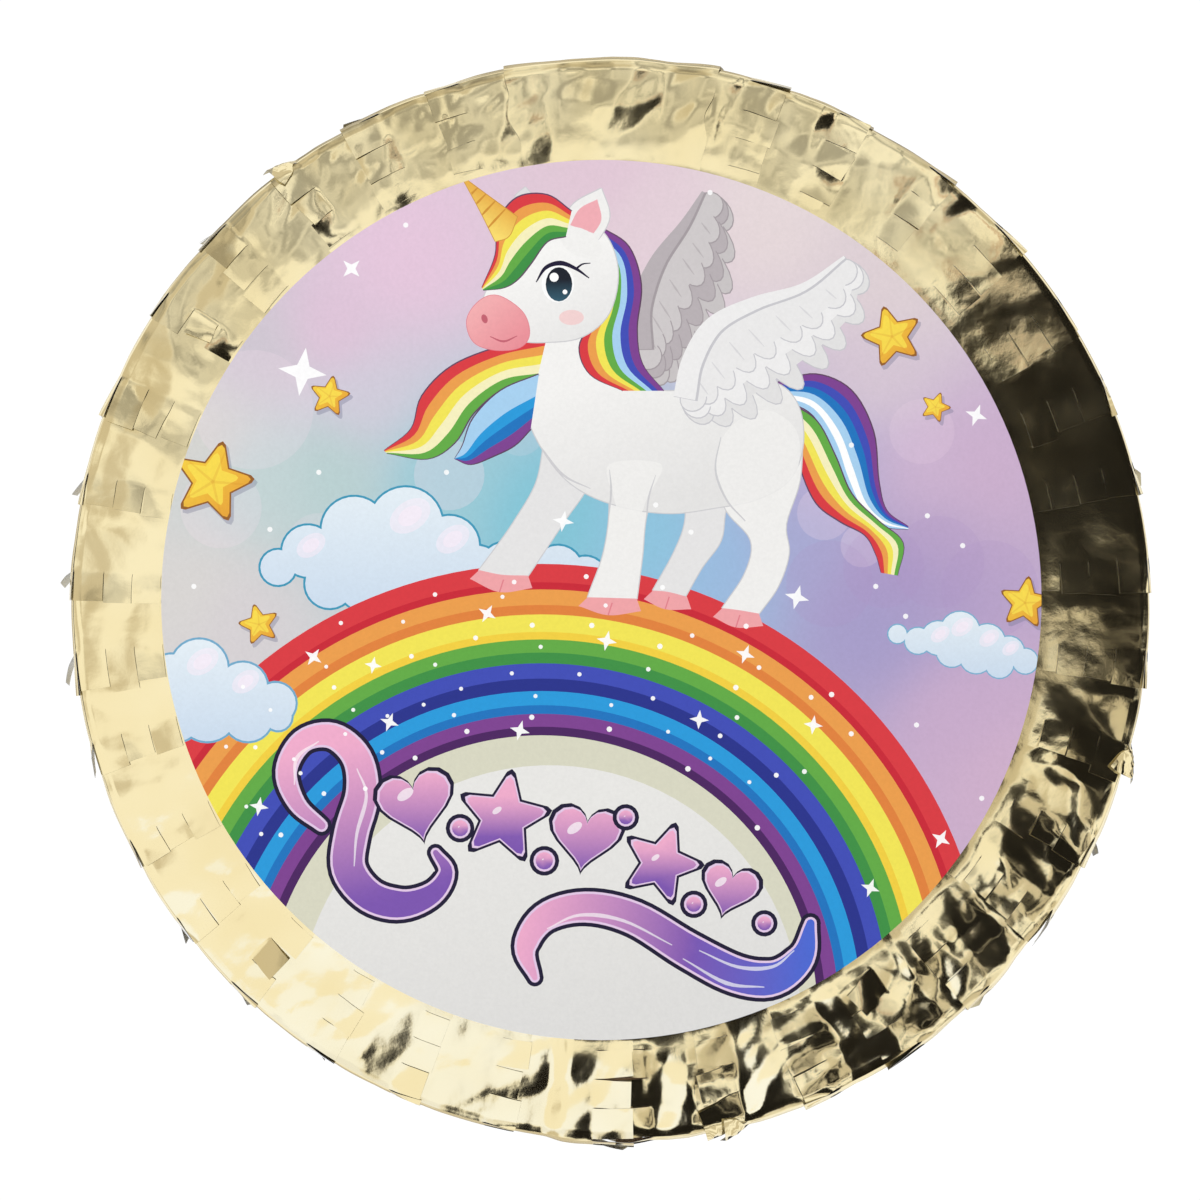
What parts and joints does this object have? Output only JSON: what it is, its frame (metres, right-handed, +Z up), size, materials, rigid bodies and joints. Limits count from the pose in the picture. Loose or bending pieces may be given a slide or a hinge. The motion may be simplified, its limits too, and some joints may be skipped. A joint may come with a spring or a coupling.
{
  "type": "pinata",
  "caption": "Round drum pinata of corrugated board with a printed front disc, a hinged fill flap in its back and overlapping gold film strips round its rim.",
  "frame": {"origin": "hanging point: the side wall board's outer surface at 12 o'clock, midway between the two cord holes and halfway through the drum's depth", "axes": "+Z up, along the hanging line; the printed front faces -Y; +Y is the drum's axis, towards the back with the fill flap; +X is to the right seen from the front"},
  "size_m": [0.4, 0.0895, 0.3992],
  "materials": {
    "gold_film": "polished",
    "print_card": "satin",
    "corrugated_board": "matte",
    "chipboard": "matte",
    "white_paper": "matte",
    "seal_sticker": "gloss"
  },
  "bodies": {
    "shell": {"side_wall": "corrugated_board", "front_panel": "corrugated_board", "back_panel": "corrugated_board", "front_corner_strip": "chipboard", "back_corner_strip": "chipboard", "wall_splice": "chipboard", "hanger_plate": "chipboard", "print_disc": "print_card", "back_cover": "white_paper", "foil_cap": "gold_film", "foil_strip_left_01": "gold_film", "foil_strip_left_02": "gold_film", "foil_strip_left_03": "gold_film", "foil_strip_left_04": "gold_film", "foil_strip_left_05": "gold_film", "foil_strip_left_06": "gold_film", "foil_strip_left_07": "gold_film", "foil_strip_left_08": "gold_film", "foil_strip_left_09": "gold_film", "foil_strip_left_10": "gold_film", "foil_strip_left_11": "gold_film", "foil_strip_left_12": "gold_film", "foil_strip_left_13": "gold_film", "foil_strip_left_14": "gold_film", "foil_strip_left_15": "gold_film", "foil_strip_left_16": "gold_film", "foil_strip_left_17": "gold_film", "foil_strip_right_01": "gold_film", "foil_strip_right_02": "gold_film", "foil_strip_right_03": "gold_film", "foil_strip_right_04": "gold_film", "foil_strip_right_05": "gold_film", "foil_strip_right_06": "gold_film", "foil_strip_right_07": "gold_film", "foil_strip_right_08": "gold_film", "foil_strip_right_09": "gold_film", "foil_strip_right_10": "gold_film", "foil_strip_right_11": "gold_film", "foil_strip_right_12": "gold_film", "foil_strip_right_13": "gold_film", "foil_strip_right_14": "gold_film", "foil_strip_right_15": "gold_film", "foil_strip_right_16": "gold_film", "foil_strip_right_17": "gold_film"},
    "flap": {"fill_flap": "corrugated_board", "flap_cover": "white_paper", "flap_seal": "seal_sticker"}
  },
  "joints": [
    {"name": "flap_hinge", "type": "hinge", "parent": "shell", "child": "flap", "pos_m": [0, 0.0427, -0.0732], "axis": [1, 0, 0], "range_deg": [0, 135]}
  ]
}
